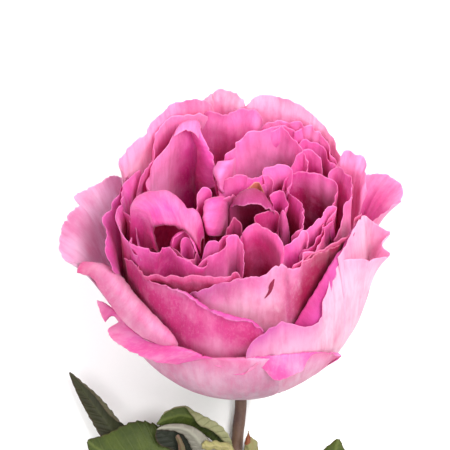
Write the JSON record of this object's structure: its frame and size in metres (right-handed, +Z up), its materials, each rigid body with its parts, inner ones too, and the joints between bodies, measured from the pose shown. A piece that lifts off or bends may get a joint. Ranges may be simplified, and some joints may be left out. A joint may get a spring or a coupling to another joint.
{
  "type": "rose",
  "caption": "Cut garden rose laid on a surface: a full pink cupped flower with crowded heart petals on a bent stem with compound leaves.",
  "frame": {"origin": "on the table surface, under the middle of the lying rose's bounding box", "axes": "+Z up from the table; the stem runs along -Y to its cut end and the flower lies at the +Y end; +X is to the right of someone who looks down with the flower away from them"},
  "size_m": [0.1924, 0.2436, 0.0895],
  "materials": {
    "outer_petal": "matte",
    "cup_petal": "matte",
    "heart_petal": "matte",
    "hip": "matte",
    "pistil": "matte",
    "stem": "matte",
    "leaf": "satin"
  },
  "bodies": {
    "root": {"petal_guard_left": "outer_petal", "petal_guard_right": "outer_petal", "petal_guard_back": "outer_petal", "petal_lower_left": "outer_petal", "petal_lower_front": "outer_petal", "petal_outer_right": "outer_petal", "petal_back_right": "outer_petal", "petal_back_left": "outer_petal", "petal_cup_left": "outer_petal", "petal_rolled_left": "outer_petal", "petal_front_left": "cup_petal", "petal_front_right": "cup_petal", "petal_upright_right": "cup_petal", "petal_inner_back_right": "cup_petal", "petal_inner_back_left": "cup_petal", "petal_inner_left": "cup_petal", "petal_crown_back": "cup_petal", "petal_second_left": "cup_petal", "petal_front_fold": "cup_petal", "petal_second_right": "cup_petal", "petal_second_front_right": "cup_petal", "petal_third_left": "cup_petal", "petal_third_front": "cup_petal", "petal_left_hood": "heart_petal", "petal_left_front": "heart_petal", "petal_left_bud_back": "heart_petal", "petal_left_bud_front": "heart_petal", "petal_left_heart": "heart_petal", "petal_tall_fold": "heart_petal", "petal_middle_wall": "heart_petal", "petal_front_curl": "heart_petal", "petal_front_hood": "heart_petal", "petal_back_hood": "heart_petal", "petal_side_curl": "heart_petal", "petal_right_ruffle": "heart_petal", "petal_right_heart_back": "heart_petal", "petal_right_heart_front": "heart_petal", "petal_right_heart": "heart_petal", "petal_pocket_wall": "heart_petal", "hip": "hip", "sepal_1": "hip", "sepal_2": "hip", "sepal_3": "hip", "sepal_4": "hip", "sepal_5": "hip", "pistil": "pistil", "stem": "stem", "left_leaf_rachis": "stem", "left_leaf_leaflet_1": "leaf", "left_leaf_leaflet_2": "leaf", "left_leaf_leaflet_3": "leaf", "left_leaf_leaflet_4": "leaf", "left_leaf_leaflet_5": "leaf", "right_leaf_rachis": "stem", "right_leaf_leaflet_1": "leaf", "right_leaf_leaflet_2": "leaf", "right_leaf_leaflet_3": "leaf", "right_leaf_leaflet_4": "leaf", "right_leaf_leaflet_5": "leaf", "upper_leaf": "leaf"}
  },
  "joints": []
}
